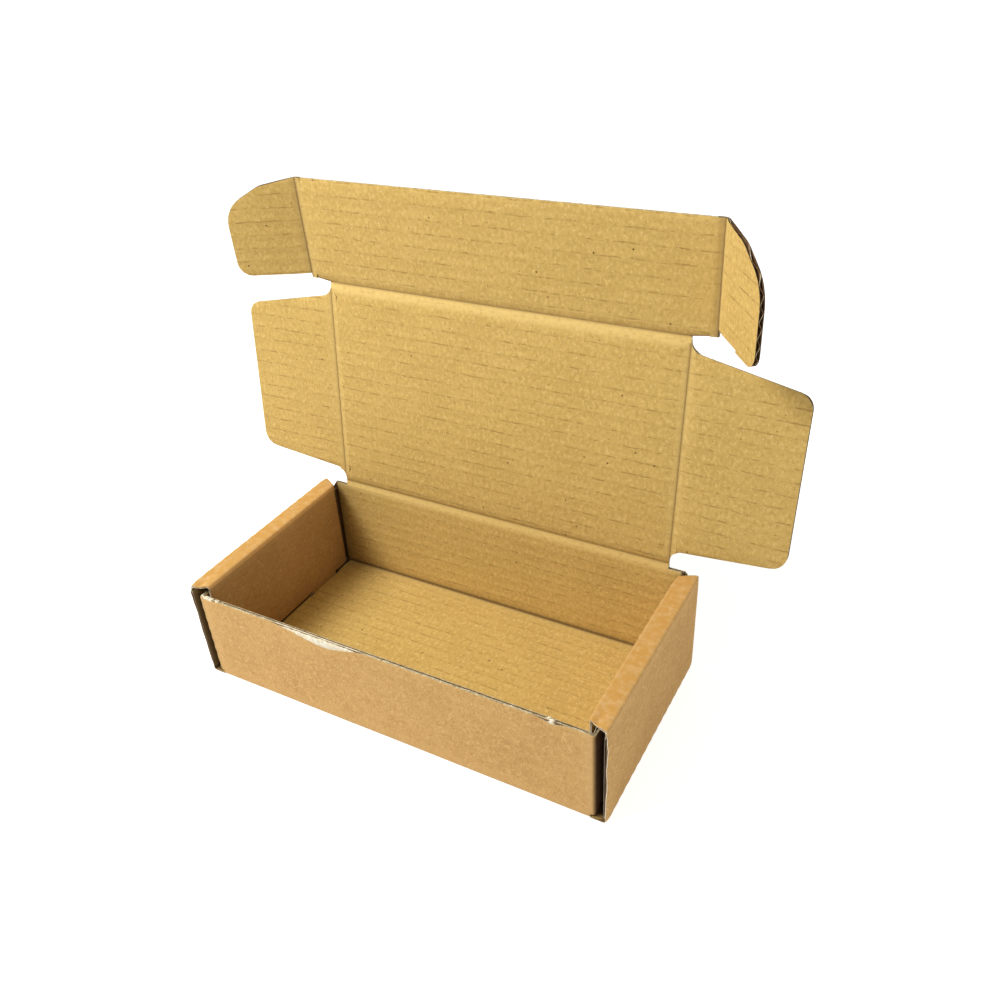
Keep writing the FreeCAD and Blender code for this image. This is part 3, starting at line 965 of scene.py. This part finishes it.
def tube(name, rings, materials, chosen=None):
    """A closed piece through rows of points that run side by side around it.

    chosen gives each step along the rows its material.
    """
    points = np.stack(rings, axis=1)
    count, around = points.shape[:2]
    faces = []
    for i in range(count - 1):
        for j in range(around):
            k = (j + 1) % around
            faces.append([i * around + j, i * around + k, (i + 1) * around + k, (i + 1) * around + j])
    faces.append(list(range(around))[::-1])
    faces.append([(count - 1) * around + j for j in range(around)])
    mesh = bpy.data.meshes.new(name)
    mesh.from_pydata(points.reshape(-1, 3).tolist(), [], faces)
    if chosen is not None:
        mesh.polygons.foreach_set("material_index", list(np.repeat(chosen[:-1], around)) + [0, 0])
    store(mesh, "sheet", points.reshape(-1, 3))
    bm = bmesh.new()
    bm.from_mesh(mesh)
    bmesh.ops.recalc_face_normals(bm, faces=bm.faces)
    bm.to_mesh(mesh)
    bm.free()
    for material in materials:
        mesh.materials.append(material)
    mesh.shade_smooth()
    return add_object(name, mesh)


def flake(place, x, y, w, reach, width, lift, turn):
    """Rows of points of a scrap of torn paper that stands up from an edge and curls."""
    t = np.linspace(0, 1, 9)
    narrow = width * (1 - 0.75 * t ** 2) * (1 + 0.15 * np.sin(t * 14))
    out = w - lift * t ** 2
    up = y - reach * np.sin(t * 1.4)
    rows = []
    for side, thick in ((-1, 0), (1, 0), (1, 1), (-1, 1)):
        lean = turn * reach * t
        rows.append(place(x + side * narrow / 2 + lean, up, out + thick * 0.16 * MM))
    return rows


def board_pieces(name, node, body, panels):
    """Outer liner, inner liner and fluted layer of a body's panels, in place of its CAD node."""
    outside = Piece(name + "_outer_liner", liner_materials)
    inside = Piece(name + "_inner_liner", liner_materials)
    for panel in panels:
        outer_shell(outside, panel)
        inner_shell(inside, panel)
    for piece in (outside.build(), inside.build(), fluting(name + "_fluting", panels)):
        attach(piece, body)
        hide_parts(node)


# Panels of the tray

fold_sink = (0.45 * MM, 0.12 * MM, 2.2 * MM)        # inside, outside and reach, at the tray's folds

# How dark the painted shade is in the unlit places, from 0 to 1
fold_dark = 0.3
corner_dark = 0.4
lining_dark = 0.38
pocket_dark = 0.8
behind_dark = 0.85
flap_dark = 0.88
slot_dark = 0.9
crease_dark = 0.34

front_fold = (1, front_fold_end, -depth_in) + fold_sink
back_fold = (1, depth_in, back_fold_end) + fold_sink


def side_fold(side, start):
    low, high = sorted((side * start, side * (start + quarter)))
    return (0, low, high) + fold_sink


tab_rows = [
    side * (tab_middle + way * (tab_length / 2 + play))
    for side in (-1, 1) for way in (-1, 1) for play in (0, tab_play)
]
tray_rows = sorted(cuts(-half_depth, half_depth, row_step) + tab_rows)
wall_columns = cuts(-corner_in, corner_in, column_step, around=(-corner_in, corner_in))
slot_limits = (lining_in - tab_clear, lining_out + tab_clear)


def base_panel():
    right = [
        (corner_in, -depth_in), (corner_in, -half_depth), (wall_in, -half_depth),
        (wall_in, half_depth), (corner_in, half_depth), (corner_in, depth_in),
    ]
    points = right + mirror(right)[::-1]
    reach = tab_length / 2 + tab_play
    slots = [
        (sorted(side * limit for limit in slot_limits), (end * tab_middle - reach, end * tab_middle + reach))
        for side in (-1, 1) for end in (-1, 1)
    ]
    columns = sorted(wall_columns + [side * limit for side in (-1, 1) for limit in slot_limits])
    seams = [
        (1, -depth_in, -corner_in, corner_in), (1, depth_in, -corner_in, corner_in),
        (0, wall_in, -half_depth, half_depth), (0, -wall_in, -half_depth, half_depth),
    ]
    creases = [front_fold, back_fold, side_fold(-1, wall_in), side_fold(1, wall_in)]
    plane = Plane((0, 0, board), (1, 0, 0), (0, 1, 0), (0, 0, 1))

    def shade(x, y, w):
        """Painted shade under the folded-in panels and along the folds up to the end walls."""
        pocket = (abs(x) > lining_in - 0.25 * MM) & (abs(y) < depth_in)
        fold = fold_dark * np.exp(-(depth_in - np.minimum(abs(y), depth_in)) / (1.5 * MM)) * (w > -board / 2)
        return np.where(pocket, slot_dark, fold)
    return Panel(points, plane, columns, tray_rows, seams=seams, creases=creases, slots=slots, shade=shade)


def side_panel(side):
    inset = {-1: rolled_front_inset, 1: rolled_back_inset}
    ends = {end: end * (half_depth - inset[end]) for end in (-1, 1)}
    lower = lining_end - lining_lift
    points = [(wall_in, -half_depth), (wall_end, -half_depth), (lining_start, ends[-1]), (lower, ends[-1])]
    for end in (-1, 1):
        high = end * tab_middle + tab_length / 2
        low = end * tab_middle - tab_length / 2
        points += [(lower, low), (tab_end, low), (tab_end, high), (lower, high)]
    points += [(lower, ends[1]), (lining_start, ends[1]), (wall_end, half_depth), (wall_in, half_depth)]
    folds = (wall_start, wall_end, strip_start, strip_end, lining_start)
    columns = cuts(wall_start, tab_end, column_step, around=folds)
    for start in (wall_in, wall_end, strip_end):
        columns = [c for c in columns if not start - 0.1 * MM < c < start + quarter + 0.1 * MM]
        columns += fold_cuts(start, quarter)
    points, columns = sided(side, points, sorted(c for c in columns if c > wall_in + TINY))

    def shade(x, y, w):
        """Painted shade in the wall's unlit pocket, and painted shadow on the left folded-in panel."""
        out = side * x
        pocket = (w > -board / 2) & (out < wall_end)
        lining = (w < -board / 2) & (out > strip_end + quarter) & (side < 0)
        return np.where(pocket, pocket_dark, 0.0) + np.where(lining, lining_dark, 0.0)

    def tint(x, y):
        return ease((side * x - wall_end) / quarter) * ease((lining_start - side * x) / quarter)

    def swell(x, y):
        """The board comes apart at the wall's raw front edge, and the rolled strip's front end is crushed."""
        up = (side * x - wall_start) / (wall_end - wall_start)
        within = ease(up / 0.15) * ease((1 - up) / 0.05)
        wavy = 0.8 + 0.25 * np.sin(up * 17 + side) + 0.15 * np.sin(up * 41)
        open_edge = edge_swell * within * (0.35 + 0.65 * up) * wavy * np.exp(-(y + half_depth) / (4.5 * MM))
        along = np.clip((side * x - wall_end) / (strip_end + quarter - wall_end), 0, 1)
        depth = np.exp(-np.maximum(y + half_depth - inset[-1], 0) / (5 * MM))
        uneven = 1 + 0.35 * np.sin(along * 9 + 2 * side)
        return open_edge - strip_crush * np.sin(math.pi * along) ** 2 * depth * uneven
    return Panel(
        points, tray_side(side), columns, tray_rows, seams=[(0, side * wall_in, -half_depth, half_depth)],
        creases=[side_fold(side, start) for start in (wall_in, wall_end, strip_end)], shade=shade, tint=tint,
        swell=swell, rim_slot=PALE_EDGE)


def fold_shade(x, y, w):
    """Painted shade on the end walls, at the fold up from the base and in the corner that the left wall
    covers.
    """
    up = abs(y) - abs(back_fold_end)
    fold = fold_dark * np.exp(-np.maximum(up, 0) / (1.5 * MM))
    corner = corner_dark * np.exp(-(x + lining_in) / (16 * MM)) * (y > 0)
    hidden = behind_dark * ease((abs(x) - lining_in - 0.6 * MM) / (1.2 * MM))
    return np.where(w > -board / 2, np.maximum(np.maximum(fold, corner), hidden * (y > 0)), 0)


def end_panel(end, lean, fold_start, fold_end, top, hinged):
    """Front or back wall, from the base's edge to its top."""
    points = [
        (-corner_in, fold_start), (corner_in, fold_start), (corner_in, fold_end), (corner_in, top),
        (-corner_in, top), (-corner_in, fold_end),
    ]
    low, high = sorted((fold_end, top))
    rows = cuts(low, high, row_step) + fold_cuts(fold_start, fold_end - fold_start)
    seams = [(1, fold_start, -corner_in, corner_in)]
    seams += [(0, side * corner_in, low, high) for side in (-1, 1)]
    creases = [front_fold if end < 0 else back_fold] + [side_fold(side, corner_in) for side in (-1, 1)]
    hinges = [(1, top, -corner_in, corner_in)] if hinged else []
    if hinged:
        creases.append(lid_crease)
    return Panel(
        points, tray_end(end, lean), wall_columns, sorted(rows), seams=seams, hinges=hinges, creases=creases,
        crushed=wall_crush, dip=None if hinged else front_dip, rub=crease_highlight if hinged else None,
        shade=fold_shade)


def dust_panel(end, lean, fold_end, wall_top, length, side):
    """Dust flap, with the fold that joins it to its wall."""
    start = corner_in + quarter
    reach = start + length
    low = fold_end + end * dust_lift
    high = low + end * dust_height
    points = [
        (corner_in, fold_end), (start, low), (reach, low, dust_corner), (reach, high, dust_corner),
        (start, high), (corner_in, wall_top),
    ]
    columns = fold_cuts(corner_in, quarter)
    columns += [c for c in cuts(start, reach, column_step, around=(start,)) if c > start + 0.1 * MM]
    points, columns = sided(side, points, columns)
    rows = cuts(*sorted((fold_end, wall_top)), row_step)

    def shade(x, y, w):
        """Painted shade in its unlit pocket, past the fold from the wall."""
        past = ease((side * x - corner_in - 0.12 * quarter) / (1.3 * MM))
        return flap_dark * np.maximum(past, w > -board / 2) * ease(abs(y - high) / (0.9 * MM))
    return Panel(
        outline(points), dust_flap_place(end, lean, fold_end, side), columns, rows,
        seams=[(0, side * corner_in, *sorted((fold_end, wall_top)))], creases=[side_fold(side, corner_in)],
        shade=shade, crushed=wall_crush)


# Hinges: each is a strip of both liners, shaped bent across the crease between two bodies' panels

lid_crease = (1, lid_y, lid_y, 0.85 * MM, 0.45 * MM, 2.6 * MM)
tuck_crease = (1, tuck_y, tuck_y, 0.85 * MM, 0.3 * MM, 3.2 * MM)
back_top = lid_y - skin_half


def flap_crease(side, place):
    return (0, side * place, side * place, 0.6 * MM, 0.3 * MM, 2.4 * MM)


def bending(parent, pivot, axis, degrees, beyond):
    """Folds a strip about a hinge: flat on its parent before it, turned by the whole angle past it."""
    def place(x, y, w):
        share = ease((beyond(x, y) + bend_half) / (2 * bend_half))
        return turned(parent(x, y, w), pivot, axis, share * math.radians(degrees))
    return place


def lid_place(x, y, w):
    return lid_plane(x, y - lid_y, w)


def tuck_place(x, y, w):
    return tuck_plane(x, y - tuck_y, w)


back_plane = wall_plane(1, back_lean)


def back_place(x, y, w):
    return back_plane(x, y - back_fold_end, w)


def crease_highlight(x, y):
    """Painted highlight on the inner liner, in a band just before the lid's and the tuck flap's creases."""
    band = np.zeros(len(y))
    for crease in (lid_y, tuck_y):
        before = crease - y
        band = np.maximum(band, ease((6.5 * MM - before) / (3 * MM)) * ease((before + 0.6 * MM) / (0.6 * MM)))
    return band


def skin_cuts(crease):
    return fold_cuts(crease - skin_half, 2 * skin_half, 14)[1:-1]


def lid_hinge_panel():
    low, high = back_top, lid_y + skin_half
    points = [(-lid_half, low), (lid_half, low), (lid_half, high), (-lid_half, high)]
    place = bending(back_place, lid_pivot, (1, 0, 0), -(lid_lean - back_lean), lambda x, y: y - lid_y)
    return Panel(
        points, place, cuts(-lid_half, lid_half, column_step), skin_cuts(lid_y),
        hinges=[(1, low, -lid_half, lid_half), (1, high, -lid_half, lid_half)], creases=[lid_crease],
        rub=crease_highlight)


def tuck_hinge_panel():
    low, high = tuck_y - skin_half, tuck_y + skin_half
    heel = tuck_y + tuck_heel
    points = [
        (-lid_half, low), (lid_half, low), (lid_half, tuck_y), (ear_crease - skin_half, heel),
        (ear_crease - skin_half, high), (-ear_crease + skin_half, high), (-ear_crease + skin_half, heel),
        (-lid_half, tuck_y),
    ]
    place = bending(lid_place, joint_place("tuck_hinge"), (1, 0, 0), tuck_fold, lambda x, y: y - tuck_y)
    return Panel(
        points, place, cuts(-ear_crease, ear_crease, column_step), skin_cuts(tuck_y),
        hinges=[(1, low, -lid_half, lid_half), (1, high, -ear_crease, ear_crease)], creases=[tuck_crease],
        rub=crease_highlight)


def notch_rise(distance):
    """How much a notch's round end adds to a flap's edge, at a distance from the crease."""
    return notch_radius - math.sqrt(notch_radius ** 2 - max(notch_radius - distance, 0) ** 2)


def notch_end(crease, edge, way):
    """Points of a notch's round end, from the crease out to the end of the bending strip."""
    distances = skin_half * np.linspace(0, 1, 9) ** 1.7
    return [(crease + d, edge + way * notch_rise(d)) for d in distances]


def side_hinge_panel(side, crease, parent, joint, axis, fold, near, far, ear=False):
    """Bending strip beside a lid flap or an ear.

    near and far are the strip's two ends: where it starts, and its points from the crease outwards.
    """
    points = [(crease - skin_half, near[0])] + near[1] + far[1][::-1] + [(crease - skin_half, far[0])]
    points, columns = sided(side, points, skin_cuts(crease))
    place = bending(parent, joint_place(joint), axis, -side * fold, lambda x, y: side * x - crease)
    heights = [p[1] for p in points]
    low, high = min(heights), max(heights)
    hinges = [(0, side * (crease + way * skin_half), low, high) for way in (-1, 0, 1)]
    return Panel(
        points, place, columns, cuts(low, high, row_step), hinges=hinges, creases=[flap_crease(side, crease)],
        **(dict(rim_slot=SHADED_EDGE, crushed=ear_crush, shade=ear_shadow) if ear else {}))


def hinge_piece(name, panel, parent, child, start, end):
    """Both liners and the crushed fluted layer of a bending strip."""
    piece = Piece(name, liner_materials)
    inner_shell(piece, panel)
    outer_shell(piece, panel)
    middle = (panel.inner_face() + panel.outer_face()) / 2
    piece.add_shell(panel, middle - medium / 2, middle + medium / 2, BACK, BACK, EDGE)
    strip = piece.build()
    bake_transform(strip)
    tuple(start)
    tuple(end)


# Panels of the lid and the tuck flap

near_edge = lid_y + flap_near
far_edge = tuck_y - flap_far
near_slope = flap_near_rise / flap_length
far_slope = flap_far_fall / flap_length
tuck_top = tuck_y + tuck_height
ear_start_fall = ear_top_fall * skin_half / (ear_length / 2)


def lid_panel():
    skinned = lid_half - skin_half
    right = [
        (lid_half, lid_y + skin_half), (lid_half, near_edge), (skinned, near_edge), (skinned, far_edge),
        (lid_half, far_edge), (lid_half, tuck_y - skin_half),
    ]
    points = right + mirror(right)[::-1]
    rows = cuts(lid_y + skin_half, tuck_y - skin_half, row_step)
    columns = cuts(-lid_half, lid_half, column_step, around=(-lid_half, lid_half))
    hinges = [(1, lid_y + skin_half, -lid_half, lid_half), (1, tuck_y - skin_half, -lid_half, lid_half)]
    hinges += [(0, side * skinned, near_edge, far_edge) for side in (-1, 1)]
    creases = [lid_crease, tuck_crease, flap_crease(-1, lid_half), flap_crease(1, lid_half)]
    return Panel(points, lid_place, columns, rows, hinges=hinges, creases=creases, rub=crease_highlight)


def flap_panel(side):
    start = lid_half + skin_half
    reach = lid_half + flap_length
    distances = np.linspace(skin_half, notch_radius, 5)

    def notched(edge, slope, way):
        return [(lid_half + d, edge - way * ((d - skin_half) * slope - notch_rise(d))) for d in distances]

    points = notched(near_edge, near_slope, -1) + [
        (reach, near_edge + flap_near_rise, flap_near_corner),
        (reach, far_edge - flap_far_fall, flap_far_corner),
    ] + notched(far_edge, far_slope, 1)[::-1]
    points, columns = sided(side, points, cuts(start, reach, column_step, around=(start,)))
    plane = flap_planes[side]

    def place(x, y, w):
        return plane(side * x - lid_half, y - lid_y, w)
    return Panel(
        outline(points), place, columns, cuts(near_edge, far_edge, row_step),
        hinges=[(0, side * start, near_edge - notch_radius, far_edge + notch_radius)],
        creases=[flap_crease(side, lid_half)])


def ear_shadow(x, y, w):
    """Painted shade beside the ears' creases, on the tuck flap's inner face."""
    before = ear_crease - abs(x)
    rubbed = crease_dark * np.exp(-abs(before) / (1.7 * MM))
    return np.where((w > -board / 2) & (before > -0.4 * MM), rubbed, 0)


def tuck_panel():
    low = tuck_y + skin_half
    edge = ear_crease - skin_half
    points = [(-edge, low), (edge, low), (edge, tuck_top), (-edge, tuck_top)]
    columns = cuts(-edge, edge, column_step, around=(-edge, edge))
    hinges = [(1, low, -edge, edge)] + [(0, side * edge, low, tuck_top) for side in (-1, 1)]
    return Panel(
        points, tuck_place, columns, cuts(low, tuck_top, row_step), hinges=hinges, shade=ear_shadow,
        creases=[tuck_crease, flap_crease(-1, ear_crease), flap_crease(1, ear_crease)])


def ear_panel(side):
    start = ear_crease + skin_half
    reach = ear_crease + ear_length
    middle = ear_crease + ear_length / 2
    level = tuck_y + ear_low
    jag = []
    if side > 0:
        step = ear_crease + ear_jag_at
        jag = [
            (start, level + ear_jag), (step - 0.5 * MM, level + ear_jag),
            (step + 0.3 * MM, level + 0.9 * ear_jag), (step - 0.4 * MM, level + 0.5 * ear_jag), (step, level),
        ]
    points = (jag or [(start, level)]) + [
        (reach, level, ear_low_corner),
        (reach, tuck_y + ear_side_top, ear_high_corner), (middle, tuck_top - ear_top_fall, ear_high_corner),
        (start, tuck_top - ear_start_fall),
    ]
    points, columns = sided(side, points, cuts(start, reach, column_step, around=(start,)))
    plane = ear_planes[side]

    def place(x, y, w):
        return plane(side * x - ear_crease, y - tuck_y, w)
    return Panel(
        outline(points), place, columns, cuts(tuck_y + ear_low, tuck_top, row_step),
        hinges=[(0, side * start, tuck_y, tuck_top)], creases=[flap_crease(side, ear_crease)],
        rim_slot=SHADED_EDGE, crushed=ear_crush)


def ear_low_end(side):
    """The bending strip's lower end past the crease."""
    level = tuck_y + ear_low + (ear_jag if side > 0 else 0)
    heel = tuck_y + tuck_heel
    return [(ear_crease, heel), (ear_crease + 0.2 * MM, level), (ear_crease + skin_half, level)]


def ear_top_end():
    return [(ear_crease, tuck_top), (ear_crease + skin_half, tuck_top - ear_start_fall)]


# Pieces

sides = {-1: "left", 1: "right"}
tray_panels = [base_panel(), side_panel(-1), side_panel(1)]
tray_panels.append(end_panel(-1, front_lean, -depth_in, front_fold_end, front_top, False))
tray_panels.append(end_panel(1, back_lean, depth_in, back_fold_end, back_top, True))
for side in sides:
    tray_panels.append(dust_panel(-1, front_lean, front_fold_end, front_top, front_dust_length, side))
    tray_panels.append(dust_panel(1, back_lean, back_fold_end, back_top, back_dust_length, side))
board_pieces("tray", "tray", "tray", tray_panels)
edge_x = np.linspace(-corner_in, corner_in, 420)
white_places = (torn_width(edge_x) > 0.12) | (frayed(edge_x) > 0.5)
torn_parts = [
    tube("front_wall_torn_edge", torn_edge(edge_x), [cut_edge, torn_paper], white_places.astype(int)),
]
scraps = [
    (-101.3, 2.1, 2.4, 1.0, 0.5), (-97.4, 1.5, 2.0, 0.9, -0.4), (-92.8, 1.7, 1.8, 1.0, 0.7),
    (-88.7, 1.0, 1.6, 0.5, 0.2), (82.4, 2.4, 1.7, 0.8, 0.8), (84.8, 1.6, 2.0, 1.0, 0.3),
    (46.5, 0.7, 0.9, 0.3, 0.5),
]
front_place = tray_end(-1, front_lean)
for i, (x, reach, width, lift, turn) in enumerate(scraps):
    rows = flake(
        front_place, x * MM, front_top + 0.4 * MM, -1.2 * MM, reach * MM, width * MM, lift * MM, turn)
    torn_parts.append(tube("front_wall_scrap_%d" % (i + 1), rows, [torn_paper]))
for scrap in torn_parts:
    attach(scrap, "tray")
    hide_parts("tray")
board_pieces("lid", "lid", "lid", [lid_panel()])
board_pieces("tuck_flap", "tuck_flap", "tuck", [tuck_panel()])
for side, word in sides.items():
    board_pieces("lid_flap_" + word, "lid_flap_" + word, "lid_flap_" + word, [flap_panel(side)])
    board_pieces("tuck_ear_" + word, "tuck_ear_" + word, "tuck_ear_" + word, [ear_panel(side)])


def across(pivot, way):
    """Start and end of the bend at a hinge, along the sheet."""
    way = Vector(way)
    return pivot - way * bend_half, pivot + way * bend_half


hinge_piece("lid_hinge_liners", lid_hinge_panel(), "tray", "lid", *across(lid_pivot, back_plane.up))
tuck_pivot = joint_place("tuck_hinge")
hinge_piece("tuck_hinge_liners", tuck_hinge_panel(), "lid", "tuck", *across(tuck_pivot, lid_up))
for side, word in sides.items():
    flap_joint = "lid_flap_" + word + "_hinge"
    panel = side_hinge_panel(
        side, lid_half, lid_place, flap_joint, lid_up, flap_fold,
        (near_edge, notch_end(lid_half, near_edge, -1)), (far_edge, notch_end(lid_half, far_edge, 1)))
    hinge_piece(
        flap_joint + "_liners", panel, "lid", "lid_flap_" + word,
        *across(joint_place(flap_joint), side * lid_plane.along))
    ear_joint = "tuck_ear_" + word + "_hinge"
    panel = side_hinge_panel(
        side, ear_crease, tuck_place, ear_joint, tuck_up, ear_fold[side],
        (tuck_y + tuck_heel, ear_low_end(side)), (tuck_top, ear_top_end()), ear=True)
    hinge_piece(
        ear_joint + "_liners", panel, "tuck", "tuck_ear_" + word,
        *across(joint_place(ear_joint), side * tuck_plane.along))


# Floor, light and camera

floor_drop = 0.2 * MM         # below the box's underside
floor_radius = 6.0


def floor_material():
    """White to the camera, with the object's shadow kept."""
    material = bpy.data.materials.new("white_floor")
    material.use_nodes = True
    n = Nodes(material.node_tree)
    output = material.node_tree.nodes["Material Output"]
    shader = material.node_tree.nodes["Principled BSDF"]
    shader.inputs["Base Color"].default_value = (0.8, 0.8, 0.8, 1)
    shader.inputs["Roughness"].default_value = 0.9
    shader.inputs["Specular IOR Level"].default_value = 0.0
    glow = n.add("ShaderNodeEmission", {"Color": (1, 1, 1, 1), "Strength": 0.75}).outputs[0]
    seen = n.add("ShaderNodeAddShader", {0: shader.outputs[0], 1: glow}).outputs[0]
    rays = n.add("ShaderNodeLightPath")
    direct = n.math("MAXIMUM", rays.outputs["Is Camera Ray"], rays.outputs["Is Glossy Ray"])
    direct = n.math("MAXIMUM", direct, rays.outputs["Is Transmission Ray"])
    mixed = n.add("ShaderNodeMixShader", {0: direct, 1: shader.outputs[0], 2: seen}).outputs[0]
    n.tree.links.new(mixed, output.inputs["Surface"])
    return material


def floor():
    mesh = bpy.data.meshes.new("floor")
    bm = bmesh.new()
    bmesh.ops.create_circle(bm, cap_ends=True, segments=96, radius=floor_radius)
    bm.to_mesh(mesh)
    bm.free()
    mesh.materials.append(floor_material())
    obj = add_object("floor", mesh)
    obj.location.z = -floor_drop


def lamp(name, place, aim, size, power):
    data = bpy.data.lights.new(name, "AREA")
    data.shape = "SQUARE"
    data.size = size
    data.energy = power
    obj = add_object(name, data)
    obj.location = place
    obj.rotation_euler = (Vector(aim) - Vector(place)).to_track_quat("-Z", "Y").to_euler()


def studio():
    world = bpy.data.worlds.new("studio")
    bpy.context.scene.world = world
    world.use_nodes = True
    n = Nodes(world.node_tree)
    output = world.node_tree.nodes["World Output"]
    soft = n.add("ShaderNodeBackground", {"Color": (1, 0.97, 0.9, 1), "Strength": 0.36}).outputs[0]
    white = n.add("ShaderNodeBackground", {"Color": (1, 1, 1, 1), "Strength": 1.0}).outputs[0]
    rays = n.add("ShaderNodeLightPath")
    mixed = n.add("ShaderNodeMixShader", {0: rays.outputs["Is Camera Ray"], 1: soft, 2: white}).outputs[0]
    n.tree.links.new(mixed, output.inputs["Surface"])
    lamp("key", (-0.44, -0.41, 0.79), (0, 0.02, 0.06), 0.42, 9.8)
    lamp("fill", (1.1, 0.1, 0.16), (0, 0, 0.05), 0.3, 2.8)


def camera():
    data = bpy.data.cameras.new("camera")
    data.sensor_width = 36.0
    data.lens = 33.96
    data.shift_x = 0.0099
    data.shift_y = 0.02296
    data.clip_start = 0.01
    data.clip_end = 20.0
    obj = add_object("camera", data)
    obj.location = (0.20448, -0.28912, 0.325)
    obj.rotation_euler = Euler([math.radians(a) for a in (55.7835, 3.2899, 28.915)])
    bpy.context.scene.camera = obj


floor()
studio()
camera()
bpy.context.scene.view_settings.view_transform = "Standard"
